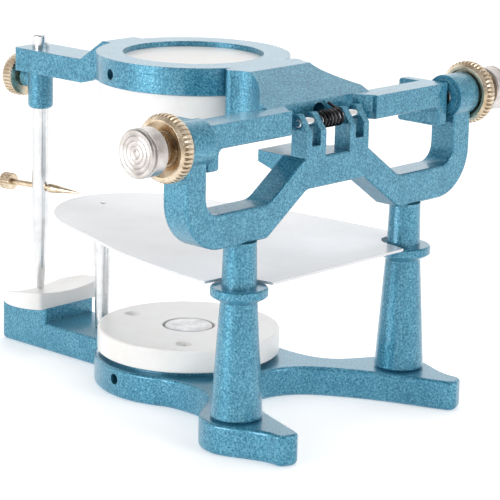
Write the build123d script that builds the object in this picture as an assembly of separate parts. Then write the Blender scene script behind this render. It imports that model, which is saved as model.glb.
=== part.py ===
from build123d import *
import os
from math import cos, pi, radians, sin, sqrt, tan

# A dental articulator of the fixed-value kind: two rings that hold casts, on a base and on a
# frame that swings about the condylar axis.  Millimetres, +Z up, front (incisal pin) towards -Y.
# The origin is on the floor, in the middle of the box round the whole object.

# ---- driving dimensions -------------------------------------------------------------------
AXIS_Y = 59.86             # condylar axis and both posts, behind the origin
AXIS_Z = 94.6              # condylar axis above the floor
RING_Y = AXIS_Y - 56.5     # centre of both rings
PIN_Y = AXIS_Y - 127.0     # incisal pin
POST_X = 38.0              # each post from the middle
RUN = 0.06                 # radial clearance of a part that turns or slides in a bore
SEAT = 0.05                # gap between faces that rest on each other across a joint

# base casting
BASE_TOP = 9.6
BASE_RING_R = 30.3
RING_BORE_R = 22.1
SEAT_R = 26.6              # raised seat under the lower mounting plate
SEAT_TOP = 11.1
BASE_ARM_HALF = 11.3
BASE_ARM_FRONT = AXIS_Y - 134.7
ARM_CORNER_R = 2.5
BASE_EDGE_R = 1.0
FOOT_EDGE_R = 1.6
LEG_TIP_R = 2.8
PAD_TOP = 14.6             # raised pad under the incisal table
PAD_BACK = AXIS_Y - 112.3
PAD_CORNER_R = 1.4
TABLE_SCREW_X = 6.5        # the two screws under the incisal table
TABLE_SCREW_Y = AXIS_Y - 121.5
TABLE_SCREW_R = 1.5
POST_SCREW_R = 2.5
LEG_NECK_Y = RING_Y + 14.5
SUPPORT_Y = AXIS_Y - 96.5  # post under the occlusal plate's front

# mounting plates
PLATE_R = 29.3
LOWER_PLATE_TOP = 18.7
DISC_R = 7.6               # steel disc in the middle of each mounting plate
DISC_T = 1.8
GROOVE_W = 0.9
KEY_R = 2.6                # round dimples that key the plaster
KEY_RING_R = 22.2
HOLDER_R = RING_BORE_R - 0.05
MAGNET_R = 9.0
MAGNET_T = 4.0
SET_SCREW_R = 1.7
LOWER_SCREW = (6.0, -6.3)  # height and angle of the lower set screw
UPPER_SCREW = (102.6, -12.9)

# rear yoke
YOKE_FRONT = AXIS_Y - 5.0
YOKE_BACK = AXIS_Y + 3.9
C_OUT = 64.8               # outer and inner side of each C arm
C_IN = 56.5
ARM_LOW = 63.2             # underside of the yoke at the posts
ARM_HIGH = 73.5            # floor inside each C
BRIDGE_LOW = 75.2          # underside and top of the bridge between the struts
BRIDGE_TOP = 84.6
BOSS_R = 6.8
BOSS_IN = 55.7             # inner end of each boss's full diameter
BOSS_STEP_R = 5.5
BOSS_STEP_IN = 55.0        # inner end of the smaller step on it
FORK_HALF = 14.2           # forks reach this far out
FORK_GAP = 5.5             # half of the window between the forks
FORK_FRONT = AXIS_Y - 2.2
FORK_TOP = 97.2
FORK_KNEE = 92.2           # height where the forks' backs start to lean forwards
SLOT_IN = 8.0
SLOT_OUT = 11.8
SLOT_LOW = 88.0
LEDGE_HALF = 10.8          # ledge under the forks, reaching forwards
LEDGE_TOP = 83.5
LEDGE_FRONT = AXIS_Y - 19.0
LEDGE_TIP = 80.3
COLLAR_R = 8.6
COLLAR_TOP = 49.6
COLLAR_LOW = 46.6
POST_FOOT_R = 7.8
POST_WAIST_R = 5.55        # just under the collar
POST_TOP_R = 4.9

# upper frame
RING_LOW = 98.9
RING_TOP = 107.3
UPPER_RING_R = 30.4
ARM_HALF = 7.0
ARM_TOP = 100.2
ARM_UNDER = 92.5
ARM_FRONT = AXIS_Y - 132.7
SLEEVE_R = 4.2
SLEEVE_LOW = 79.7
SCREW_Z = 89.8             # axis of the pin's lock screw
SCREW_BOSS_R = 3.8
SCREW_BOSS_FRONT = AXIS_Y - 133.2
BAR_BACK = AXIS_Y + 2.4
BAR_FRONT = AXIS_Y - 6.0
BAR_LOW = 92.0
BAR_TOP = 99.4
BAR_IN = 19.4              # inner end of each half of the crossbar
CHEEK_IN = 50.0
CHEEK_OUT = 54.6
CHEEK_FRONT = AXIS_Y - 14.2
CHEEK_LOW = 85.8
WEB_TOP_BACK = AXIS_Y - 20.0
WEB_FOOT = AXIS_Y - 3.8    # where the sloped web comes down to the crossbar's top

# pins, screws and wheels
PIN_R = 2.85
PIN_TOP = 104.4
PIN_TIP_R = 1.35
PIN_TIP = 17.05
PIN_YAW = 9.0              # the pin stands turned by this much, and its pointer with it
POINTER_Z = 52.6
ROD_R = 1.5
ROD_HALF = 14.3
SHANK_R = 3.0
TIP_R = 2.0
WHEEL_R = 9.85
WHEEL_LEFT_IN = 66.9       # inner face of each wheel; the left one is screwed further out
WHEEL_RIGHT_IN = 65.4
WHEEL_T = 5.0
WHEEL_TEETH = 44
WHEEL_TOOTH = 0.75         # depth of the knurl
RIM_R = 8.4                # outer edge of both faces; the rim is crowned from there
HUB_R = 4.7
HUB_LENGTH = 6.1           # from the wheel's inner face to the end of its hub
DISH_DEPTH = 1.9
HEAD_R = 7.0
HEAD_IN = 74.9
HEAD_OUT = 81.2
NECK_R = 4.0
NECK_IN = 73.2
TABLE_SLOPE = 9.3          # degrees, back end up
OCCLUSAL_T = 0.8
OCCLUSAL_BACK = AXIS_Y + 6.2
OCCLUSAL_BACK_HALF = 30.3
OCCLUSAL_TILT = 0.9        # degrees, front end up


# ---- helpers --------------------------------------------------------------------------------
def rod(x, y, z, direction, radius, length):
    """Round bar starting at x, y, z and running along direction."""
    return extrude(Plane((x, y, z), z_dir=direction) * Circle(radius), length)


def block(x0, x1, y0, y1, z0, z1):
    """Box between two corners."""
    centre = Pos((x0 + x1) / 2, (y0 + y1) / 2, (z0 + z1) / 2)
    return centre * Box(x1 - x0, y1 - y0, z1 - z0)


def turned(points):
    """Solid of revolution about Z from (radius, height) points that start and end on the axis."""
    profile = make_face(Plane.XZ * Polyline(*points, close=True))
    return revolve(profile, Axis.Z)


def side_profile(points, x0, x1):
    """Prism along X between x0 and x1 from (y, z) points."""
    face = Plane.YZ * make_face(Polyline(*points, close=True))
    return Pos(x0, 0, 0) * extrude(face, x1 - x0)


def both_sides(part):
    """The part and its mirror image across the middle plane."""
    return part + mirror(part, about=Plane.YZ)


def toothed(blank, radius, length, teeth, depth):
    """A turned blank along +Z with rounded straight teeth cut round its largest radius."""
    groove = 0.3 * 2 * pi * radius / teeth
    cutter = Pos(radius + groove - depth, 0, -1) * extrude(Circle(groove), length + 2)
    return blank - [Rot(0, 0, i * 360 / teeth) * cutter for i in range(teeth)]


def knurled(radius, length, teeth, depth):
    """Plain knurled knob along +Z with chamfered edges."""
    blank = extrude(Circle(radius), length)
    return toothed(chamfer(blank.edges(), 0.6 * depth), radius, length, teeth, depth)


# ---- base -----------------------------------------------------------------------------------
def leg_outline():
    """Plan of both rear legs: splayed, with a smooth bay between them."""
    tip_out = (43.0, AXIS_Y + 21.6)
    tip_in = (36.4, AXIS_Y + 24.0)
    neck = (sqrt(BASE_RING_R**2 - 14.5**2), LEG_NECK_Y)
    outer = Spline(neck, (25.7, AXIS_Y - 31), (28.8, AXIS_Y - 20.5), (38.5, AXIS_Y - 13.5),
                   (46.3, AXIS_Y - 7), (48.1, AXIS_Y - 0.5), (45.7, AXIS_Y + 7.5), tip_out)
    end = Line(tip_out, tip_in)
    bay = Spline(tip_in, (29.6, AXIS_Y + 6.5), (20.8, AXIS_Y - 11.5), (0, AXIS_Y - 25),
                 tangents=[(-0.5, -1), (-1, 0)])
    right = Curve() + [outer, end, bay]
    left = mirror(right, about=Plane.YZ)
    across = Line(neck, (-neck[0], neck[1]))
    return make_face(Curve() + [outer, end, bay, left, across])


def base_frame():
    """Ring, front arm with its pad, and two legs, with the screw holes."""
    arm = Pos(0, (BASE_ARM_FRONT + RING_Y) / 2) * Rectangle(2 * BASE_ARM_HALF,
                                                           RING_Y - BASE_ARM_FRONT)
    plan = leg_outline() + Pos(0, RING_Y) * Circle(BASE_RING_R) + arm
    corners = plan.vertices().filter_by(lambda v: abs(abs(v.X) - BASE_ARM_HALF) < 0.1)
    plan = fillet(corners.filter_by(lambda v: v.Y > PAD_BACK), 6)
    corners = plan.vertices().filter_by(lambda v: v.Y < BASE_ARM_FRONT + 1)
    plan = fillet(corners, ARM_CORNER_R)
    tips = plan.vertices().filter_by(lambda v: v.Y > AXIS_Y + 19)
    plan = fillet(tips, LEG_TIP_R)
    slab = extrude(plan, BASE_TOP)
    slab = fillet(slab.edges().group_by(Axis.Z)[-1], BASE_EDGE_R)
    slab = fillet(slab.edges().group_by(Axis.Z)[0], FOOT_EDGE_R)
    pad_plan = Pos(0, (BASE_ARM_FRONT + PAD_BACK) / 2) * Rectangle(2 * BASE_ARM_HALF,
                                                                PAD_BACK - BASE_ARM_FRONT)
    pad_plan = fillet(pad_plan.vertices().group_by(Axis.Y)[-1], PAD_CORNER_R)
    pad_plan = fillet(pad_plan.vertices().group_by(Axis.Y)[0], ARM_CORNER_R)
    pad = Pos(0, 0, 3) * extrude(pad_plan, PAD_TOP - 3)
    seat = Pos(0, RING_Y, 5) * extrude(Circle(SEAT_R), SEAT_TOP - 5)
    body = slab + pad + seat
    body -= Pos(0, RING_Y, -1) * extrude(Circle(RING_BORE_R), 20)
    body -= side_hole(*LOWER_SCREW, BASE_RING_R)
    for x in (-POST_X, POST_X):
        body -= rod(x, AXIS_Y, -1, (0, 0, 1), POST_SCREW_R + 0.1, 20)
        body -= rod(x, AXIS_Y, -1, (0, 0, 1), 4.7, 5)
    body -= rod(0, SUPPORT_Y, BASE_TOP - 6, (0, 0, 1), 1.5, 10)
    for x in (-TABLE_SCREW_X, TABLE_SCREW_X):
        body -= rod(x, TABLE_SCREW_Y, -1, (0, 0, 1), TABLE_SCREW_R + 0.1, 20)
        body -= rod(x, TABLE_SCREW_Y, -1, (0, 0, 1), 3.1, 4)
    return body


def side_hole(height, angle, ring_r):
    """Hole through a ring's side for its set screw; angle in degrees from +X."""
    a = radians(angle)
    start = HOLDER_R - 2.5
    return rod(start * cos(a), RING_Y + start * sin(a), height,
               (cos(a), sin(a), 0), SET_SCREW_R, ring_r - start + 2)


def set_screw(height, angle):
    """Grub screw sunk in a ring's side hole, its socket outwards."""
    a = radians(angle)
    start = HOLDER_R - 2.4
    length = 7.0
    screw = rod(start * cos(a), RING_Y + start * sin(a), height,
                (cos(a), sin(a), 0), SET_SCREW_R, length)
    end = start + length
    face = Plane((end * cos(a), RING_Y + end * sin(a), height), z_dir=(cos(a), sin(a), 0))
    return screw - extrude(face * RegularPolygon(0.8, 6), -1.6)


def post_screws():
    """Two pan-head screws from beneath, one up into each post."""
    one = rod(0, AXIS_Y, 1.0, (0, 0, 1), 4.4, 3.0)
    one += rod(0, AXIS_Y, 4.0, (0, 0, 1), POST_SCREW_R, 17.0)
    one -= extrude(Plane((0, AXIS_Y, 1.0), z_dir=(0, 0, 1)) * RegularPolygon(2.2, 6), 1.8)
    return Pos(-POST_X, 0, 0) * one + Pos(POST_X, 0, 0) * one


# ---- mounting plates ------------------------------------------------------------------------
def mounting_plate():
    """White disc with its working face at +Z, as used on the lower ring.

    The face has a pocket for the steel disc, a groove round it, and round dimples that key the plaster.
    """
    thickness = LOWER_PLATE_TOP - SEAT_TOP - SEAT
    plate = extrude(Circle(PLATE_R), thickness)
    plate = fillet(plate.edges().group_by(Axis.Z)[-1], 0.8)
    plate = chamfer(plate.edges().group_by(Axis.Z)[0], 0.3)
    plate -= Pos(0, 0, thickness - DISC_T) * extrude(Circle(DISC_R + GROOVE_W), 5)
    keys = [Rot(0, 0, angle) * Pos(KEY_RING_R, 0, thickness) * Sphere(KEY_R)
            for angle in (40, 160, 280)]
    plate -= keys
    return Pos(0, 0, SEAT_TOP + SEAT) * plate


def steel_disc():
    """Steel disc in the lower plate's pocket."""
    disc = extrude(Circle(DISC_R), DISC_T)
    disc = chamfer(disc.edges().group_by(Axis.Z)[-1], 0.3)
    return Pos(0, RING_Y, LOWER_PLATE_TOP - DISC_T) * disc


def lower_magnet_holder():
    """Plastic plug in the base ring, open on top for the magnet."""
    plug = extrude(Circle(HOLDER_R), SEAT_TOP - 1.6)
    plug -= Pos(0, 0, SEAT_TOP - 1.6 - MAGNET_T) * extrude(Circle(MAGNET_R), 10)
    plug = Pos(0, RING_Y, 1.6) * plug
    return plug - side_hole(*LOWER_SCREW, BASE_RING_R)


def lower_magnet():
    """Ring magnet in the lower holder."""
    magnet = extrude(Circle(MAGNET_R) - Circle(2.2), MAGNET_T)
    return Pos(0, RING_Y, SEAT_TOP - MAGNET_T) * magnet


def upper_magnet_holder():
    """Plastic plug in the upper ring, open underneath for the magnet."""
    top = RING_TOP - 1.7
    plug = extrude(Circle(HOLDER_R), top - RING_LOW)
    plug -= extrude(Circle(MAGNET_R), MAGNET_T)
    plug = Pos(0, RING_Y, RING_LOW) * plug
    return plug - side_hole(*UPPER_SCREW, UPPER_RING_R)


def flipped_to_upper(part):
    """A lower plate's part turned over and carried up to the upper ring."""
    middle = (SEAT_TOP + RING_LOW) / 2
    return Pos(0, 0, 2 * middle) * mirror(part, about=Plane.XY)


# ---- rear yoke ------------------------------------------------------------------------------
def yoke_outline():
    """Back view of the yoke without its forks: two C arms, struts and a bridge."""
    right = [(0, BRIDGE_LOW), (13.2, BRIDGE_LOW), (30.4, ARM_LOW), (C_OUT, ARM_LOW),
             (C_OUT, AXIS_Z), (C_IN, AXIS_Z), (C_IN, ARM_HIGH), (29.8, ARM_HIGH),
             (FORK_HALF, BRIDGE_TOP), (0, BRIDGE_TOP)]
    half = make_face(Polyline(*right, close=True))
    rounding = {(C_OUT, ARM_LOW): 14.8, (C_IN, ARM_HIGH): 5.5, (29.8, ARM_HIGH): 7.0,
                (30.4, ARM_LOW): 3.0, (13.2, BRIDGE_LOW): 4.0}
    for (x, z), radius in rounding.items():
        corner = half.vertices().sort_by_distance((x, z, 0))[0]
        half = fillet(corner, radius)
    return half + mirror(half, about=Plane.YZ)


def post():
    """One round post with its collar, standing on the base at the origin."""
    z0 = BASE_TOP
    return turned([(0, z0), (POST_FOOT_R - 0.7, z0), (POST_FOOT_R, z0 + 0.7),
                   (POST_FOOT_R - 0.15, z0 + 2.5), (POST_WAIST_R, COLLAR_LOW - 1.6),
                   (POST_WAIST_R + 1.4, COLLAR_LOW - 0.6), (COLLAR_R - 0.5, COLLAR_LOW),
                   (COLLAR_R, COLLAR_LOW + 0.5), (COLLAR_R, COLLAR_TOP - 0.5),
                   (COLLAR_R - 0.5, COLLAR_TOP), (POST_WAIST_R - 0.3, COLLAR_TOP),
                   (POST_TOP_R, ARM_LOW), (0, ARM_LOW)])


def forks():
    """Two forks of two lugs each; their backs lean forwards over the centre rod."""
    lean = tan(radians(36.4))
    top_back = YOKE_BACK - (FORK_TOP - FORK_KNEE) * lean
    side = [(FORK_FRONT, BRIDGE_TOP - 4), (YOKE_BACK, BRIDGE_TOP - 4), (YOKE_BACK, FORK_KNEE),
            (top_back, FORK_TOP), (FORK_FRONT + 0.9, FORK_TOP), (FORK_FRONT, FORK_TOP - 0.9)]
    fork = side_profile(side, FORK_GAP, FORK_HALF)
    fork -= block(SLOT_IN, SLOT_OUT, FORK_FRONT - 1, YOKE_BACK + 1, SLOT_LOW, FORK_TOP + 1)
    return both_sides(fork)


def rear_yoke():
    """Posts, arms, bosses, forks and ledge in one casting."""
    face = Plane((0, YOKE_BACK, 0), x_dir=(1, 0, 0), z_dir=(0, -1, 0)) * yoke_outline()
    body = extrude(face, YOKE_BACK - YOKE_FRONT)
    body = fillet(body.edges().filter_by(lambda e: on_plane(e, YOKE_BACK)), 0.8)
    boss = rod(BOSS_IN, AXIS_Y, AXIS_Z, (1, 0, 0), BOSS_R, C_OUT - BOSS_IN)
    boss += rod(BOSS_STEP_IN, AXIS_Y, AXIS_Z, (1, 0, 0), BOSS_STEP_R, C_OUT - BOSS_STEP_IN)
    body += both_sides(boss)
    body += forks()
    ledge = [(YOKE_FRONT + 1, LEDGE_TOP), (LEDGE_FRONT, LEDGE_TOP), (LEDGE_FRONT, LEDGE_TIP),
             (YOKE_FRONT + 1, BRIDGE_LOW + 0.4)]
    tongue = side_profile(ledge, -LEDGE_HALF, LEDGE_HALF)
    body += fillet(tongue.edges().filter_by(Axis.Z).group_by(Axis.Y)[0], 1.0)
    for x in (-POST_X, POST_X):
        body += Pos(x, AXIS_Y, 0) * post()
        body -= rod(x, AXIS_Y, BASE_TOP - 1, (0, 0, 1), POST_SCREW_R, 13)
    bore = rod(BOSS_STEP_IN - 1, AXIS_Y, AXIS_Z, (1, 0, 0), SHANK_R + RUN, C_OUT - BOSS_STEP_IN + 2)
    body -= both_sides(bore)
    body -= rod(-FORK_HALF - 1, AXIS_Y, AXIS_Z, (1, 0, 0), ROD_R, 2 * FORK_HALF + 2)
    return body


def on_plane(edge, y):
    """True when the whole edge lies in the plane of that y."""
    box = edge.bounding_box()
    return abs(box.min.Y - y) < 0.01 and abs(box.max.Y - y) < 0.01


def centre_rod():
    """Nickel rod through the four lugs."""
    bar = rod(-ROD_HALF, AXIS_Y, AXIS_Z, (1, 0, 0), ROD_R, 2 * ROD_HALF)
    return chamfer(bar.edges().filter_by(GeomType.CIRCLE), 0.4)


# ---- upper frame ----------------------------------------------------------------------------
def web_outline():
    """Plan of the neck and web between the upper ring and the crossbar."""
    corner = (17.6, AXIS_Y - 28.5)
    foot = (23.2, AXIS_Y - 7.2)
    front = Line((0, corner[1]), corner)
    side = Spline(corner, (15.5, AXIS_Y - 25.3), (13.6, AXIS_Y - 20), (17.2, AXIS_Y - 12.8), foot)
    down = Line(foot, (foot[0], WEB_FOOT))
    back = Line((foot[0], WEB_FOOT), (0, WEB_FOOT))
    middle = Line((0, WEB_FOOT), (0, corner[1]))
    half = make_face(Curve() + [front, side, down, back, middle])
    half = fillet(half.vertices().sort_by_distance((*corner, 0))[0], 1.8)
    return half + mirror(half, about=Plane.YZ)


def web():
    """Thick web with a sloped back, cut clear of the upper mounting plate."""
    body = Pos(0, 0, BAR_LOW) * extrude(web_outline(), RING_TOP - BAR_LOW)
    body -= Pos(0, RING_Y, 0) * extrude(Circle(PLATE_R + 0.8), RING_LOW)
    rise = (RING_TOP - BAR_TOP) / (WEB_FOOT - WEB_TOP_BACK)
    far = 8.0
    wedge = [(WEB_TOP_BACK, RING_TOP), (WEB_FOOT + far, BAR_TOP - far * rise),
             (WEB_FOOT + far, RING_TOP + 5), (WEB_TOP_BACK, RING_TOP + 5)]
    return body - side_profile(wedge, -30, 30)


def crossbar():
    """Both halves of the bar with their end cheeks, the recess between them left open."""
    bar = block(BAR_IN - 6, CHEEK_OUT, BAR_FRONT, BAR_BACK, BAR_LOW, BAR_TOP)
    cheek = block(CHEEK_IN, CHEEK_OUT, CHEEK_FRONT, BAR_BACK, CHEEK_LOW, BAR_TOP)
    cheek = fillet(cheek.edges().filter_by(Axis.X).group_by(Axis.Z)[0], 1.0)
    cheek = fillet(cheek.edges().filter_by(Axis.X).group_by(Axis.Y)[0], 1.0)
    half = bar + cheek
    root = half.edges().filter_by(Axis.Y).filter_by(
        lambda e: abs(e.center().X - CHEEK_IN) < 0.05 and abs(e.center().Z - BAR_LOW) < 0.05)
    half = fillet(root, 2.0)
    foot = half.edges().filter_by(Axis.Y).group_by(Axis.Z)[0]
    half = fillet(foot, 0.8)
    half -= rod(CHEEK_OUT - 3.2, AXIS_Y, AXIS_Z, (1, 0, 0), TIP_R + RUN, 10)
    return both_sides(half)


def recess():
    """Space between the halves of the crossbar, where the forks stand."""
    plan = [(15.6, WEB_FOOT - 0.4), (BAR_IN, AXIS_Y + 0.8), (BAR_IN, BAR_BACK + 5),
            (-BAR_IN, BAR_BACK + 5), (-BAR_IN, AXIS_Y + 0.8), (-15.6, WEB_FOOT - 0.4)]
    cut = Pos(0, 0, BAR_LOW - 5) * extrude(make_face(Polyline(*plan, close=True)), 30)
    return cut


def spring_bore():
    """Blind bore in the recess's front wall, ahead of the spring."""
    return rod(0, AXIS_Y - 3.0, 95.9, (0, -1, 0), 2.8, 9)


def upper_arm():
    """Front arm with its ramp up to the ring, the pin's sleeve and the lock screw's boss."""
    side = [(ARM_FRONT, ARM_TOP), (AXIS_Y - 100.5, ARM_TOP), (AXIS_Y - 90.2, RING_TOP),
            (RING_Y - 20, RING_TOP), (RING_Y - 20, RING_LOW), (AXIS_Y - 87.6, RING_LOW),
            (AXIS_Y - 94.5, 94.0), (AXIS_Y - 100, ARM_UNDER), (ARM_FRONT, ARM_UNDER)]
    arm = side_profile(side, -ARM_HALF, ARM_HALF)
    arm = fillet(arm.edges().filter_by(Axis.Z).group_by(Axis.Y)[0], 1.6)
    sleeve = rod(0, PIN_Y, SLEEVE_LOW, (0, 0, 1), SLEEVE_R, ARM_UNDER - SLEEVE_LOW + 2)
    sleeve = fillet(sleeve.edges().group_by(Axis.Z)[0], 1.3)
    boss = rod(0, SCREW_BOSS_FRONT, SCREW_Z, (0, 1, 0), SCREW_BOSS_R, PIN_Y - SCREW_BOSS_FRONT)
    return arm + sleeve + boss


def upper_frame():
    """Ring, arm, web and crossbar in one casting."""
    ring = Pos(0, RING_Y, RING_LOW) * extrude(Circle(UPPER_RING_R), RING_TOP - RING_LOW)
    body = ring + upper_arm() + web() + crossbar()
    body -= recess()
    body -= Pos(0, RING_Y, RING_LOW - 1) * extrude(Circle(RING_BORE_R), 12)
    body -= side_hole(*UPPER_SCREW, UPPER_RING_R)
    body -= rod(0, PIN_Y, SLEEVE_LOW - 1, (0, 0, 1), PIN_R + RUN, 40)
    body -= rod(0, SCREW_BOSS_FRONT - 1, SCREW_Z, (0, 1, 0), 1.5 + RUN, 1 + PIN_Y - SCREW_BOSS_FRONT)
    return body - spring_bore()


# ---- pins, screws and wheels ----------------------------------------------------------------
def incisal_pin():
    """Round pin with a flat at its upper end and a tapered foot, cross-drilled for the pointer."""
    taper = 42.0
    body = turned([(0, PIN_TIP), (PIN_TIP_R - 0.4, PIN_TIP), (PIN_TIP_R, PIN_TIP + 0.5),
                   (PIN_R, taper), (PIN_R, PIN_TOP - 0.4), (PIN_R - 0.4, PIN_TOP), (0, PIN_TOP)])
    flat = Rot(0, 0, 41) * block(-5, 5, PIN_R - 1.3, 5, PIN_TOP - 2.4, PIN_TOP + 1)
    body -= flat
    body -= Rot(0, 0, PIN_YAW) * rod(0, -5, POINTER_Z, (0, 1, 0), 1.0 + RUN, 10)
    return Pos(0, PIN_Y, 0) * body


def along_pointer(part):
    """Turn a part made along +Y to the pointer's direction and carry it to the pin."""
    return Pos(0, PIN_Y, POINTER_Z) * Rot(0, 0, PIN_YAW) * part


def incisal_pointer():
    """Brass rod through the pin, with a long cone behind it."""
    points = [(0, -15.4), (1.0, -15.4), (1.0, 3.6), (1.55, 4.0), (1.55, 5.4), (0.25, 16.3),
              (0, 16.3)]
    profile = make_face(Plane.XY * Polyline(*points, close=True))
    return along_pointer(revolve(profile, Axis.Y))


def pointer_knob():
    """Knurled brass nut on the pointer's front end."""
    length = 4.0
    nut = knurled(2.85, length, 18, 0.3)
    nut -= Pos(0, 0, 0.4) * extrude(Circle(1.0), length)
    place = Plane((0, -15.8, 0), x_dir=(1, 0, 0), z_dir=(0, 1, 0))
    return along_pointer(place * nut)


def incisal_lock_screw():
    """Brass thumb screw that presses on the pin from the front."""
    thick = 4.0
    knob = knurled(7.1, thick, 36, 0.45)
    knob -= Pos(0, 0, -1) * extrude(Circle(5.2), 1.9)
    back = SCREW_BOSS_FRONT - 1.2
    reach = PIN_Y - PIN_R - SEAT - back
    stem = Pos(0, 0, thick - 1) * extrude(Circle(1.5), reach + 1)
    place = Plane((0, back - thick, SCREW_Z), x_dir=(1, 0, 0), z_dir=(0, 1, 0))
    return place * (knob + stem)


def incisal_table():
    """White block on the pad; its top slopes up to the back and is hollowed across."""
    front, back = AXIS_Y - 131.2, PAD_BACK
    middle = (front + back) / 2
    right = ThreePointArc((13.0, front), (16.6, middle), (13.2, back))
    left = ThreePointArc((-13.2, back), (-16.6, middle), (-13.0, front))
    plan = make_face(Curve() + [right, left, Line((13.2, back), (-13.2, back)),
                                Line((-13.0, front), (13.0, front))])
    plan = fillet(plan.vertices(), 2.0)
    body = Pos(0, 0, PAD_TOP) * extrude(plan, 8)
    hollow_r = 70.0
    low = PIN_TIP - SEAT - PIN_TIP_R * tan(radians(TABLE_SLOPE))
    along = (0, cos(radians(TABLE_SLOPE)), sin(radians(TABLE_SLOPE)))
    start = (0, PIN_Y - 30 * along[1], low - 30 * along[2] + hollow_r / along[1])
    body -= rod(*start, along, hollow_r, 60)
    for x in (-TABLE_SCREW_X, TABLE_SCREW_X):
        body -= rod(x, TABLE_SCREW_Y, PAD_TOP - 1, (0, 0, 1), TABLE_SCREW_R, 3.2)
    return body


def table_screws():
    """Two small screws from beneath into the table."""
    one = rod(0, TABLE_SCREW_Y, 1.0, (0, 0, 1), 2.9, 2.0)
    one += rod(0, TABLE_SCREW_Y, 3.0, (0, 0, 1), TABLE_SCREW_R, PAD_TOP + 2.0 - 3.0)
    one -= extrude(Plane((0, TABLE_SCREW_Y, 1.0), z_dir=(0, 0, 1)) * RegularPolygon(1.4, 6), 1.2)
    return Pos(-TABLE_SCREW_X, 0, 0) * one + Pos(TABLE_SCREW_X, 0, 0) * one


def plate_support_post():
    """Tapered post under the occlusal plate's front, with a locating tip through the plate."""
    top = occlusal_low(SUPPORT_Y) - 0.1
    body = turned([(0, BASE_TOP - 5.5), (1.5, BASE_TOP - 5.5), (1.5, BASE_TOP),
                   (2.1, BASE_TOP), (2.3, BASE_TOP + 0.4), (2.95, 38), (2.95, top - 0.5),
                   (2.6, top), (0.9, top), (0.9, top + 0.9), (0.7, top + 1.2), (0, top + 1.2)])
    return Pos(0, SUPPORT_Y, 0) * body


def occlusal_low(y):
    """Height of the occlusal plate's underside at that y."""
    return COLLAR_TOP + SEAT + (OCCLUSAL_BACK - y) * tan(radians(OCCLUSAL_TILT))


def occlusal_plate():
    """Thin stiff sheet: rounded front, straight back between the posts, a step round each post."""
    front = AXIS_Y - 107.8
    side = Spline((0, front), (11, AXIS_Y - 105.0), (23.2, AXIS_Y - 95), (33.3, AXIS_Y - 68),
                  (40.4, AXIS_Y - 45), (44.2, AXIS_Y - 18), (44.6, AXIS_Y - 7.6),
                  tangents=[(1, 0), (0.02, 1)])
    step = Line((44.6, AXIS_Y - 7.6), (36.0, AXIS_Y - 6.9))
    round_post = ThreePointArc((36.0, AXIS_Y - 6.9), (32.1, AXIS_Y - 3.4), (31.4, AXIS_Y + 1))
    tail = Line((31.4, AXIS_Y + 1), (OCCLUSAL_BACK_HALF, OCCLUSAL_BACK))
    half = Curve() + [side, step, round_post, tail]
    left = mirror(half, about=Plane.YZ)
    back = Line((OCCLUSAL_BACK_HALF, OCCLUSAL_BACK), (-OCCLUSAL_BACK_HALF, OCCLUSAL_BACK))
    plan = make_face(Curve() + [side, step, round_post, tail, left, back])
    sheet = extrude(plan, OCCLUSAL_T)
    sheet -= Pos(0, SUPPORT_Y, -1) * extrude(Circle(1.0), 3)
    hinge = Pos(0, OCCLUSAL_BACK, COLLAR_TOP + SEAT)
    return hinge * Rot(-OCCLUSAL_TILT, 0, 0) * Pos(0, -OCCLUSAL_BACK, 0) * sheet


def condyle_screw():
    """Nickel thumb screw along +X: pivot tip, shank, neck and a head with a turned face."""
    lip = HEAD_OUT - 1.0       # back of the thin lip in front of the head's groove
    face = []
    for ring_r in (5.3, 3.9, 2.5, 1.1):
        face += [(ring_r + 0.5, HEAD_OUT), (ring_r, HEAD_OUT - 0.18), (ring_r - 0.5, HEAD_OUT)]
    body = turned([(0, CHEEK_OUT - 3.0), (TIP_R - 0.4, CHEEK_OUT - 3.0), (TIP_R, CHEEK_OUT - 2.6),
                   (TIP_R, C_IN - 0.6), (SHANK_R, C_IN + 0.2), (SHANK_R, NECK_IN),
                   (NECK_R, NECK_IN), (NECK_R, HEAD_IN), (HEAD_R - 0.5, HEAD_IN),
                   (HEAD_R, HEAD_IN + 0.5), (HEAD_R, lip - 0.9), (HEAD_R - 0.7, lip - 0.6),
                   (HEAD_R - 0.7, lip), (HEAD_R, lip + 0.2), (HEAD_R, HEAD_OUT - 0.5),
                   (HEAD_R - 0.5, HEAD_OUT)] + face + [(0, HEAD_OUT)])
    return Pos(0, AXIS_Y, AXIS_Z) * Rot(0, 90, 0) * body


def lock_wheel(inner_face):
    """Brass wheel along +X: crowned knurled rim, conical dish and a stepped hub."""
    blank = turned([(0, 0), (RIM_R, 0), (WHEEL_R - 0.4, 0.8), (WHEEL_R, 1.7),
                    (WHEEL_R, WHEEL_T - 1.7), (WHEEL_R - 0.4, WHEEL_T - 0.8), (RIM_R, WHEEL_T),
                    (0, WHEEL_T)])
    wheel = toothed(blank, WHEEL_R, WHEEL_T, WHEEL_TEETH, WHEEL_TOOTH)
    root = HUB_R + 0.4
    wheel -= turned([(0, WHEEL_T + 1), (RIM_R - 0.4, WHEEL_T + 1), (RIM_R - 0.6, WHEEL_T - 0.2),
                     (root, WHEEL_T - DISH_DEPTH), (0, WHEEL_T - DISH_DEPTH)])
    wheel -= Pos(0, 0, -1) * extrude(Circle(RIM_R - 0.9) - Circle(root), 1.8)
    hub_step = WHEEL_T + 0.5
    wheel += turned([(0, 1), (HUB_R, 1), (HUB_R, hub_step), (HUB_R - 0.8, hub_step + 0.3),
                     (HUB_R - 0.8, HUB_LENGTH), (0, HUB_LENGTH)])
    wheel -= Pos(0, 0, -1) * extrude(Circle(SHANK_R + RUN), 12)
    return Pos(inner_face, AXIS_Y, AXIS_Z) * Rot(0, 90, 0) * wheel


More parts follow.
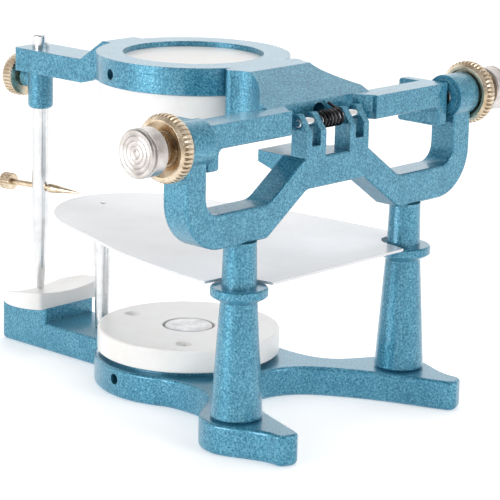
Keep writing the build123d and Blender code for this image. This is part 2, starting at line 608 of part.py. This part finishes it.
# ---- spring ---------------------------------------------------------------------------------
def retaining_spring():
    """Spring wound round the centre rod between the forks, one leg up under the web."""
    turns, pitch, radius, wire = 6, 1.55, 2.3, 0.45
    length = turns * pitch
    path = Helix(pitch, length, radius)
    section = Plane(path @ 0, z_dir=path % 0) * Circle(wire)
    coil = Pos(0, AXIS_Y, AXIS_Z) * Rot(0, -90, 0) * Pos(0, 0, -length / 2) * sweep(section, path=path)
    leg_x = -length / 2
    route = FilletPolyline((leg_x, AXIS_Y, AXIS_Z + radius), (leg_x, AXIS_Y - 1.4, AXIS_Z + radius),
                           (leg_x + 1.6, AXIS_Y - 3.3, AXIS_Z + 4.0), radius=0.8)
    leg = sweep(Plane(route @ 0, z_dir=route % 0) * Circle(wire), path=route)
    return coil + leg


# ---- nodes ----------------------------------------------------------------------------------
def nodes():
    """Every separate piece, by node name."""
    lower_plate = Pos(0, RING_Y, 0) * mounting_plate()
    disc = steel_disc()
    return {
        "base_frame": base_frame(),
        "rear_yoke": rear_yoke(),
        "post_screws": post_screws(),
        "lower_magnet_holder": lower_magnet_holder(),
        "lower_magnet": lower_magnet(),
        "lower_set_screw": set_screw(*LOWER_SCREW),
        "lower_mounting_plate": lower_plate,
        "lower_steel_disc": disc,
        "plate_support_post": plate_support_post(),
        "incisal_table": incisal_table(),
        "table_screws": table_screws(),
        "occlusal_plate": occlusal_plate(),
        "centre_rod": centre_rod(),
        "retaining_spring": retaining_spring(),
        "upper_frame": upper_frame(),
        "upper_magnet_holder": upper_magnet_holder(),
        "upper_magnet": Pos(0, 0, RING_LOW - SEAT_TOP + MAGNET_T) * lower_magnet(),
        "upper_set_screw": set_screw(*UPPER_SCREW),
        "upper_mounting_plate": flipped_to_upper(lower_plate),
        "upper_steel_disc": flipped_to_upper(disc),
        "incisal_pin": incisal_pin(),
        "incisal_pointer": incisal_pointer(),
        "pointer_knob": pointer_knob(),
        "incisal_lock_screw": incisal_lock_screw(),
        "condyle_screw_left": condyle_screw(),
        "condyle_screw_right": mirror(condyle_screw(), about=Plane.YZ),
        "lock_wheel_left": lock_wheel(WHEEL_LEFT_IN),
        "lock_wheel_right": mirror(lock_wheel(WHEEL_RIGHT_IN), about=Plane.YZ),
    }


def main():
    """Write one STEP file for each node."""
    os.makedirs("parts", exist_ok=True)
    for name, part in nodes().items():
        export_step(part, f"parts/{name}.step")


main()
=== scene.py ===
from math import cos, radians, sin

import bpy
from mathutils import Matrix, Vector


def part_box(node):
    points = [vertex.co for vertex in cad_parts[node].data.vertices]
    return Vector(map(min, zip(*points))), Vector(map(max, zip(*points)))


# Looks of a dental articulator: hammered enamel castings, white plastic, brass and plated steel.
# Metres, in the CAD frame: +Z up, front (incisal pin) towards -Y, condylar axis along X.

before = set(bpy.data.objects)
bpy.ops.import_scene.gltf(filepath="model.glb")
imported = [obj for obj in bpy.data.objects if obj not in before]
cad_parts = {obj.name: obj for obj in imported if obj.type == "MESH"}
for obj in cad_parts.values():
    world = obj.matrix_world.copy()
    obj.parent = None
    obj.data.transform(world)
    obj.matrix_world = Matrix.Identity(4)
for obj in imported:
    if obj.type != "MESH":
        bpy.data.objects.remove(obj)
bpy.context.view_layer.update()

MM = 0.001


def middle(node):
    """Middle of a CAD node's box."""
    low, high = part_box(node)
    return (low + high) / 2


AXLE = middle("centre_rod")                 # a point on the condylar axis
RING = middle("lower_steel_disc")           # the axis both mounting plates share
PIN = middle("incisal_pin")
KNOB = middle("incisal_lock_screw")

# ---- camera and light -------------------------------------------------------------------------
CAMERA_AZIMUTH = radians(132.254)           # from the front, towards +X
CAMERA_HEIGHT = radians(14.008)
CAMERA_ROLL = radians(1.358)
CAMERA_DISTANCE = 0.7073
LENS = 167.98                               # millimetres, as is the sensor's width
SENSOR_WIDTH = 36
AIM_BELOW_AXLE = 0.0463                     # where the camera looks, from the condylar axis
AIM_LEFT = 0.02252
AIM_UP = 0.0055

TENT_BRIGHTNESS = 0.77                      # the white tent round the object
BACKDROP_GLOW = 0.5                         # more light from behind the object
BACKDROP_RISE = 0.25                        # the glow's middle is a little above level
OPENING_DIM = 0.45                          # less where the camera looks in
CEILING_DIM = 0.5                           # less overhead
BACKDROP_CONE = (75, 25)                    # degrees from its middle: where it starts, where it is full
OPENING_CONE = (38, 12)
CEILING_CONE = (62, 35)
LIGHTS = (("left", 80, 10, 5.5),            # name, azimuth and height in degrees, power in watts
          ("right", 188, 26, 3.0),
          ("top", 300, 75, 3.0))
LIGHT_DISTANCE = 1.2
LIGHT_SIZE = 0.5
LIGHT_AIM = AXLE - Vector((0, 0.05, 0.04))  # in front of the condylar axis and below it
FLOOR_GLOW = 0.38                           # how much the floor shines by itself
FLOOR_REACH = 4.0                           # its radius
FLOOR_FLAT = 0.7                            # the part of that radius that is level
FLOOR_DROP = 0.4                            # how steeply the rest dips away
FLOOR_CLOUD = 0.05                          # patches of the paper's tone

# ---- sizes of surface detail ------------------------------------------------------------------
PAINT_GRAIN = 0.60 * MM                     # one bead of the hammered enamel
PAINT_FLOW = 7 * MM                         # slow change of tone over a casting
PAINT_BUMP = 0.06 * MM                      # depth of the beads
PAINT_SHADE_REACH = 3 * MM                      # how far the painted shade reaches out of a corner
EDGE_WIDTH = 0.35 * MM                      # rounding and painted highlight along an edge
PLASTIC_SMUDGE = 11 * MM
PLASTIC_DUST = 0.5 * MM
PLASTIC_RINGS = 0.35 * MM                   # pitch of the turning marks
PLASTIC_BUMP = 0.012 * MM
PLASTIC_EDGE = 0.3 * MM
# reach of the painted shade in the plastic's crevices
PLASTIC_SHADE_REACH = 1.5 * MM
SHEET_CLOUD = 18 * MM
SHEET_HAIRLINE = 0.35 * MM                  # width of a handling mark
SHEET_BUMP = 0.006 * MM
SHEET_ROUNDING = 0.2 * MM
SHEET_EDGE = 0.3 * MM                       # how far in the painted highlight along the edge reaches
METAL_CLOUD = 4 * MM
# reach of the painted shade in the grooves of metal parts
METAL_SHADE_REACH = 0.8 * MM
SHADER_SAMPLES = 6                          # rays for the edge and crevice masks


# ---- node helpers -----------------------------------------------------------------------------
class Surface:
    """One procedural material, built node by node."""

    def __init__(self, name, **values):
        self.material = bpy.data.materials.new(name)
        self.material.use_nodes = True
        self.tree = self.material.node_tree
        self.tree.nodes.clear()
        self.shader = self.add("BsdfPrincipled")
        output = self.add("OutputMaterial")
        self.tree.links.new(self.shader.outputs["BSDF"], output.inputs["Surface"])
        for socket, value in values.items():
            self.shader.inputs[socket.replace("_", " ")].default_value = value
        self.place = self.add("TexCoord").outputs["Object"]

    def add(self, kind, **settings):
        node = self.tree.nodes.new("ShaderNode" + kind)
        for key, value in settings.items():
            setattr(node, key, value)
        return node

    def feed(self, socket, value):
        """Link a node's output to a socket, or set the socket to a plain value."""
        if isinstance(value, bpy.types.NodeSocket):
            self.tree.links.new(value, socket)
        else:
            socket.default_value = value

    def set(self, name, value):
        self.feed(self.shader.inputs[name], value)

    def noise(self, size, detail=2.0, roughness=0.5, stretch=(1, 1, 1)):
        """Noise whose features are about size metres across."""
        node = self.add("TexNoise")
        node.inputs["Scale"].default_value = 1 / size
        node.inputs["Detail"].default_value = detail
        node.inputs["Roughness"].default_value = roughness
        where = self.place
        if stretch != (1, 1, 1):
            mapping = self.add("Mapping")
            mapping.inputs["Scale"].default_value = stretch
            self.feed(mapping.inputs["Vector"], where)
            where = mapping.outputs["Vector"]
        self.feed(node.inputs["Vector"], where)
        return node.outputs["Fac"]

    def cells(self, size):
        """Rounded cells about size metres across."""
        node = self.add("TexVoronoi", feature="SMOOTH_F1")
        node.inputs["Scale"].default_value = 1 / size
        node.inputs["Smoothness"].default_value = 0.6
        self.feed(node.inputs["Vector"], self.place)
        return node.outputs["Distance"]

    def math(self, operation, first, second=0.0):
        node = self.add("Math", operation=operation)
        self.feed(node.inputs[0], first)
        self.feed(node.inputs[1], second)
        return node.outputs[0]

    def spread(self, value, low, high, to_low, to_high):
        """Map low..high onto to_low..to_high, clamped."""
        node = self.add("MapRange")
        self.feed(node.inputs["Value"], value)
        node.inputs["From Min"].default_value = low
        node.inputs["From Max"].default_value = high
        node.inputs["To Min"].default_value = to_low
        node.inputs["To Max"].default_value = to_high
        return node.outputs["Result"]

    def ramp(self, value, *stops):
        """Colour ramp through (position, (r, g, b)) stops."""
        node = self.add("ValToRGB")
        elements = node.color_ramp.elements
        while len(elements) < len(stops):
            elements.new(0.5)
        for element, (position, colour) in zip(elements, stops):
            element.position = position
            element.color = (*colour, 1)
        self.feed(node.inputs["Fac"], value)
        return node.outputs["Color"]

    def mix(self, factor, first, second, blend="MIX"):
        node = self.add("Mix", data_type="RGBA", blend_type=blend)
        self.feed(node.inputs[0], factor)
        for socket, value in ((node.inputs[6], first), (node.inputs[7], second)):
            self.feed(socket, value if isinstance(value, bpy.types.NodeSocket) else (*value, 1))
        return node.outputs[2]

    def rounded(self, radius):
        """Normal that runs softly over the edges."""
        node = self.add("Bevel", samples=SHADER_SAMPLES)
        node.inputs["Radius"].default_value = radius
        return node.outputs["Normal"]

    def edges(self, radius):
        """Mask for painted edge highlights: about 1 along edges and 0 on open faces."""
        facing = self.add("VectorMath", operation="DOT_PRODUCT")
        self.feed(facing.inputs[0], self.rounded(radius))
        self.feed(facing.inputs[1], self.add("NewGeometry").outputs["Normal"])
        return self.spread(facing.outputs["Value"], 0.98, 0.75, 0.0, 1.0)

    def crevices(self, reach):
        """Occlusion mask for painted shade: about 1 deep in grooves and 0 on open faces."""
        node = self.add("AmbientOcclusion", samples=SHADER_SAMPLES, only_local=True)
        node.inputs["Distance"].default_value = reach
        return self.spread(node.outputs["AO"], 0.85, 0.35, 0.0, 1.0)

    def bump(self, height, depth, normal=None, strength=1.0):
        node = self.add("Bump")
        node.inputs["Strength"].default_value = strength
        node.inputs["Distance"].default_value = depth
        self.feed(node.inputs["Height"], height)
        if normal is not None:
            self.feed(node.inputs["Normal"], normal)
        return node.outputs["Normal"]

    def radius_from(self, centre, axis):
        """Distance from a line through centre along the X, Y or Z axis."""
        offset = self.add("VectorMath", operation="SUBTRACT")
        self.feed(offset.inputs[0], self.place)
        offset.inputs[1].default_value = centre
        flat = self.add("VectorMath", operation="MULTIPLY")
        self.feed(flat.inputs[0], offset.outputs["Vector"])
        flat.inputs[1].default_value = [0 if name == axis else 1 for name in "XYZ"]
        length = self.add("VectorMath", operation="LENGTH")
        self.feed(length.inputs[0], flat.outputs["Vector"])
        return length.outputs["Value"]

    def rings(self, centre, axis, pitch):
        """Turning marks: fine rings round an axis, uneven in depth."""
        distance = self.radius_from(centre, axis)
        node = self.add("TexNoise", noise_dimensions="1D")
        node.inputs["Scale"].default_value = 1 / pitch
        node.inputs["Detail"].default_value = 1.5
        self.feed(node.inputs["W"], distance)
        return node.outputs["Fac"]


# ---- materials --------------------------------------------------------------------------------
def hammered_blue():
    """Blue hammered enamel: fine beads, painted highlight along the edges, painted shade in the
    corners.
    """
    s = Surface("blue_hammered", Metallic=0.5, Coat_Weight=0.65, Coat_Roughness=0.12)
    grain = s.noise(PAINT_GRAIN, detail=3.0, roughness=0.65)
    beads = s.cells(1.1 * PAINT_GRAIN)
    flow = s.noise(PAINT_FLOW, detail=2.0)
    tone = s.math("ADD", s.math("MULTIPLY", grain, 0.88), s.math("MULTIPLY", flow, 0.12))
    colour = s.ramp(tone, (0.38, (0.018, 0.150, 0.250)), (0.50, (0.044, 0.250, 0.375)),
                    (0.62, (0.140, 0.410, 0.550)))
    # painted highlight: the enamel is made paler along its edges
    colour = s.mix(s.math("MULTIPLY", s.edges(EDGE_WIDTH), 0.2), colour, (0.30, 0.56, 0.66))
    # painted shade: the enamel is made darker in corners and recesses
    colour = s.mix(s.math("MULTIPLY", s.crevices(PAINT_SHADE_REACH), 0.4), colour, (0.02, 0.10, 0.16))
    s.set("Base Color", colour)
    s.set("Roughness", s.spread(grain, 0.3, 0.7, 0.26, 0.42))
    relief = s.math("ADD", beads, grain)
    s.set("Normal", s.bump(relief, PAINT_BUMP, s.rounded(EDGE_WIDTH), strength=0.9))
    return s.material


def white_moulding(name, centre, axis):
    """White plastic with faint turning rings, dust, soft smudges and painted shade in crevices."""
    s = Surface(name, Subsurface_Weight=0.08, Subsurface_Scale=1.5 * MM, Coat_Weight=0.15,
                Coat_Roughness=0.2)
    smudge = s.noise(PLASTIC_SMUDGE, detail=3.0, roughness=0.6)
    dust = s.noise(PLASTIC_DUST, detail=2.0)
    colour = s.ramp(smudge, (0.30, (0.80, 0.785, 0.755)), (0.44, (0.83, 0.82, 0.80)),
                    (0.60, (0.855, 0.845, 0.83)))
    colour = s.mix(s.spread(dust, 0.6, 0.8, 0.0, 0.25), colour, (0.74, 0.72, 0.69))
    # painted shade: the plastic is made darker in its crevices
    colour = s.mix(s.math("MULTIPLY", s.crevices(PLASTIC_SHADE_REACH), 0.25), colour, (0.5, 0.47, 0.43))
    s.set("Base Color", colour)
    s.set("Roughness", s.spread(smudge, 0.3, 0.7, 0.30, 0.42))
    marks = s.math("ADD", s.rings(centre, axis, PLASTIC_RINGS), s.math("MULTIPLY", dust, 0.5))
    s.set("Normal", s.bump(marks, PLASTIC_BUMP, s.rounded(PLASTIC_EDGE), strength=0.5))
    return s.material


def white_sheet():
    """Semi-gloss white sheet of the occlusal plate, a little cool, with light handling marks."""
    s = Surface("white_sheet", Coat_Weight=0.5, Coat_Roughness=0.06)
    cloud = s.noise(SHEET_CLOUD, detail=3.0)
    hairline = s.noise(SHEET_HAIRLINE, detail=2.0, stretch=(1, 0.04, 1))
    colour = s.ramp(cloud, (0.35, (0.74, 0.74, 0.765)), (0.6, (0.79, 0.79, 0.815)))
    colour = s.mix(s.spread(hairline, 0.68, 0.8, 0.0, 0.3), colour, (0.72, 0.72, 0.74))
    # painted highlight: the sheet is made brighter along its edges
    colour = s.mix(s.math("MULTIPLY", s.edges(SHEET_EDGE), 0.4), colour, (0.93, 0.93, 0.94))
    s.set("Base Color", colour)
    s.set("Roughness", s.spread(cloud, 0.3, 0.7, 0.16, 0.26))
    s.set("Normal", s.bump(hairline, SHEET_BUMP, s.rounded(SHEET_ROUNDING), strength=0.4))
    return s.material


def metal(name, colours, roughness, centre, axis, pitch=0.12 * MM, depth=0.008 * MM,
          dark=(0.05, 0.045, 0.04), groove_shade=0.5, edge_highlight=0.5, anisotropic=0.0, edge=0.15 * MM):
    """Turned metal: turning rings, clouded tone, painted shade in grooves and painted highlight on
    edges.
    """
    s = Surface(name, Metallic=1.0, Anisotropic=anisotropic)
    cloud = s.noise(METAL_CLOUD, detail=4.0, roughness=0.6)
    marks = s.rings(centre, axis, pitch)
    low, mid, high = colours
    colour = s.ramp(cloud, (0.32, low), (0.5, mid), (0.68, high))
    # painted shade: the metal is made darker in grooves and recesses
    colour = s.mix(s.math("MULTIPLY", s.crevices(METAL_SHADE_REACH), groove_shade), colour, dark)
    # painted highlight: the metal is made brighter along its edges
    colour = s.mix(s.math("MULTIPLY", s.edges(edge), edge_highlight), colour, high)
    s.set("Base Color", colour)
    uneven = s.math("ADD", s.math("MULTIPLY", cloud, 0.6), s.math("MULTIPLY", marks, 0.4))
    s.set("Roughness", s.spread(uneven, 0.3, 0.7, roughness[0], roughness[1]))
    if anisotropic:
        tangent = s.add("Tangent", direction_type="RADIAL", axis=axis)
        s.set("Tangent", tangent.outputs["Tangent"])
    s.set("Normal", s.bump(marks, depth, s.rounded(edge), strength=0.6))
    return s.material


BRASS = ((0.52, 0.39, 0.25), (0.71, 0.57, 0.41), (0.90, 0.79, 0.63))
NICKEL = ((0.50, 0.46, 0.43), (0.63, 0.59, 0.565), (0.76, 0.725, 0.70))
CHROME = ((0.70, 0.71, 0.72), (0.77, 0.775, 0.78), (0.84, 0.84, 0.84))
STEEL = ((0.60, 0.60, 0.61), (0.74, 0.74, 0.74), (0.88, 0.88, 0.88))
ZINC = ((0.48, 0.49, 0.50), (0.60, 0.61, 0.62), (0.72, 0.73, 0.74))
BLACK = ((0.012, 0.012, 0.014), (0.03, 0.03, 0.033), (0.09, 0.09, 0.095))


def dress(node, material):
    """Give a CAD node one material all over."""
    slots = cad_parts[node].data.materials
    slots.clear()
    slots.append(material)


def dress_all():
    """Every CAD node with its material."""
    blue = hammered_blue()
    for node in ("base_frame", "rear_yoke", "upper_frame"):
        dress(node, blue)
    turned_white = white_moulding("white_plastic_turned", RING, "Z")
    for node in ("lower_magnet_holder", "lower_mounting_plate", "upper_magnet_holder",
                 "upper_mounting_plate"):
        dress(node, turned_white)
    dress("incisal_table", white_moulding("white_plastic_table", middle("incisal_table"), "Y"))
    dress("occlusal_plate", white_sheet())
    wheel_brass = metal("brass_wheel", BRASS, (0.22, 0.36), AXLE, "X", groove_shade=0.8)
    nickel = metal("nickel", NICKEL, (0.24, 0.36), AXLE, "X", anisotropic=0.4, groove_shade=0.4,
                   edge_highlight=0.1)
    for side in ("left", "right"):
        dress("lock_wheel_" + side, wheel_brass)
        dress("condyle_screw_" + side, nickel)
    dress("incisal_lock_screw", metal("brass_knob", BRASS, (0.22, 0.36), KNOB, "Y"))
    pointer_brass = metal("brass_pointer", BRASS, (0.22, 0.36), middle("incisal_pointer"), "Y")
    dress("incisal_pointer", pointer_brass)
    dress("pointer_knob", pointer_brass)
    dress("incisal_pin", metal("polished_pin", CHROME, (0.16, 0.24), PIN, "Z", groove_shade=0.2))
    dress("plate_support_post", metal("satin_post", CHROME, (0.20, 0.30),
                                      middle("plate_support_post"), "Z", groove_shade=0.2))
    bright_disc = metal("bright_disc", STEEL, (0.42, 0.56), RING, "Z", pitch=0.25 * MM)
    for node in ("lower_steel_disc", "upper_steel_disc"):
        dress(node, bright_disc)
    dress("centre_rod", metal("bright_rod", CHROME, (0.12, 0.2), AXLE, "X"))
    plating = metal("magnet_plating", STEEL, (0.15, 0.25), RING, "Z")
    for node in ("lower_magnet", "upper_magnet"):
        dress(node, plating)
    for node in ("post_screws", "table_screws"):
        dress(node, metal("zinc_steel", ZINC, (0.25, 0.4), middle(node), "Z"))
    for node in ("lower_set_screw", "upper_set_screw"):
        dress(node, metal("black_steel", BLACK, (0.35, 0.5), middle(node), "X"))
    dress("retaining_spring", metal("black_wire", BLACK, (0.22, 0.36), AXLE, "X",
                                    edge=0.08 * MM))


# ---- studio -----------------------------------------------------------------------------------
def camera_axes():
    """Right, up and backward directions of the camera."""
    a, e, r = CAMERA_AZIMUTH, CAMERA_HEIGHT, CAMERA_ROLL
    back = Vector((sin(a) * cos(e), -cos(a) * cos(e), sin(e)))
    right = Vector((0, 0, 1)).cross(back).normalized()
    up = back.cross(right)
    return cos(r) * right + sin(r) * up, cos(r) * up - sin(r) * right, back


def make_camera():
    """Long-lens camera behind the articulator's left rear corner, a little above it."""
    right, up, back = camera_axes()
    aim = AXLE - Vector((0, 0, AIM_BELOW_AXLE)) - AIM_LEFT * right + AIM_UP * up
    data = bpy.data.cameras.new("camera")
    data.sensor_width = SENSOR_WIDTH
    data.lens = LENS
    data.clip_start = 0.01
    camera = bpy.data.objects.new("camera", data)
    camera.matrix_world = (Matrix.Translation(aim + CAMERA_DISTANCE * back)
                           @ Matrix((right, up, back)).transposed().to_4x4())
    bpy.context.scene.collection.objects.link(camera)
    bpy.context.scene.camera = camera


def softbox(name, place, target, power):
    """Square soft light aimed at a point."""
    data = bpy.data.lights.new(name, "AREA")
    data.shape = "RECTANGLE"
    data.size = LIGHT_SIZE
    data.size_y = LIGHT_SIZE
    data.energy = power
    light = bpy.data.objects.new(name, data)
    light.location = place
    light.rotation_euler = (place - target).to_track_quat("Z", "Y").to_euler()
    bpy.context.scene.collection.objects.link(light)


def directed(tree, direction, cone, change):
    """Brightness added within a cone round a direction, from none at its edge to full at its core."""
    edge, core = cone
    place = tree.nodes.new("ShaderNodeTexCoord")
    dot = tree.nodes.new("ShaderNodeVectorMath")
    dot.operation = "DOT_PRODUCT"
    dot.inputs[1].default_value = direction
    tree.links.new(place.outputs["Generated"], dot.inputs[0])
    fade = tree.nodes.new("ShaderNodeMapRange")
    fade.interpolation_type = "SMOOTHSTEP"
    fade.inputs["From Min"].default_value = cos(radians(edge))
    fade.inputs["From Max"].default_value = cos(radians(core))
    fade.inputs["To Min"].default_value = 0.0
    fade.inputs["To Max"].default_value = change
    tree.links.new(dot.outputs["Value"], fade.inputs["Value"])
    return fade.outputs["Result"]


def make_tent():
    """White tent: bright at the lit backdrop, dim overhead and at the opening for the camera."""
    world = bpy.data.worlds.new("tent")
    bpy.context.scene.world = world
    world.use_nodes = True
    tree = world.node_tree
    back = camera_axes()[2]
    backdrop = Vector((-back.x, -back.y, BACKDROP_RISE)).normalized()
    glow = directed(tree, backdrop, BACKDROP_CONE, BACKDROP_GLOW)
    opening = directed(tree, back, OPENING_CONE, -OPENING_DIM)
    ceiling = directed(tree, (0, 0, 1), CEILING_CONE, -CEILING_DIM)
    level = None
    for change in (glow, opening, ceiling):
        total = tree.nodes.new("ShaderNodeMath")
        total.operation = "ADD"
        total.inputs[1].default_value = TENT_BRIGHTNESS
        tree.links.new(change, total.inputs[0])
        if level is not None:
            tree.links.new(level, total.inputs[1])
        level = total.outputs[0]
    background = tree.nodes["Background"]
    background.inputs["Color"].default_value = (1, 1, 1, 1)
    tree.links.new(level, background.inputs["Strength"])


def make_lights():
    """Low soft lights left and right of the camera and one nearly overhead."""
    for name, azimuth, height, power in LIGHTS:
        a, e = radians(azimuth), radians(height)
        toward = Vector((sin(a) * cos(e), -cos(a) * cos(e), sin(e)))
        softbox(name, LIGHT_AIM + LIGHT_DISTANCE * toward, LIGHT_AIM, power)


def make_floor():
    """Plain white floor that dips away far from the object."""
    rings, spokes = 24, 64
    points = [(0, 0, 0)]
    faces = []
    for i in range(1, rings + 1):
        part = i / rings
        for k in range(spokes):
            angle = radians(360 * k / spokes)
            points.append((FLOOR_REACH * part * cos(angle), FLOOR_REACH * part * sin(angle),
                           -FLOOR_DROP * max(0.0, part - FLOOR_FLAT) ** 2))
    for k in range(spokes):
        faces.append((0, 1 + k, 1 + (k + 1) % spokes))
    for i in range(rings - 1):
        for k in range(spokes):
            near, far = 1 + i * spokes, 1 + (i + 1) * spokes
            step = (k + 1) % spokes
            faces.append((near + k, far + k, far + step, near + step))
    mesh = bpy.data.meshes.new("floor")
    mesh.from_pydata(points, [], faces)
    floor = bpy.data.objects.new("floor", mesh)
    bpy.context.scene.collection.objects.link(floor)
    s = Surface("floor_paper", Emission_Color=(1, 1, 1, 1), Emission_Strength=FLOOR_GLOW)
    tone = s.noise(FLOOR_CLOUD, detail=2.0)
    s.set("Base Color", s.ramp(tone, (0.3, (0.93, 0.93, 0.93)), (0.7, (0.95, 0.95, 0.95))))
    s.set("Roughness", 0.9)
    mesh.materials.append(s.material)


dress_all()
make_camera()
make_tent()
make_lights()
make_floor()
bpy.context.scene.view_settings.view_transform = "Standard"
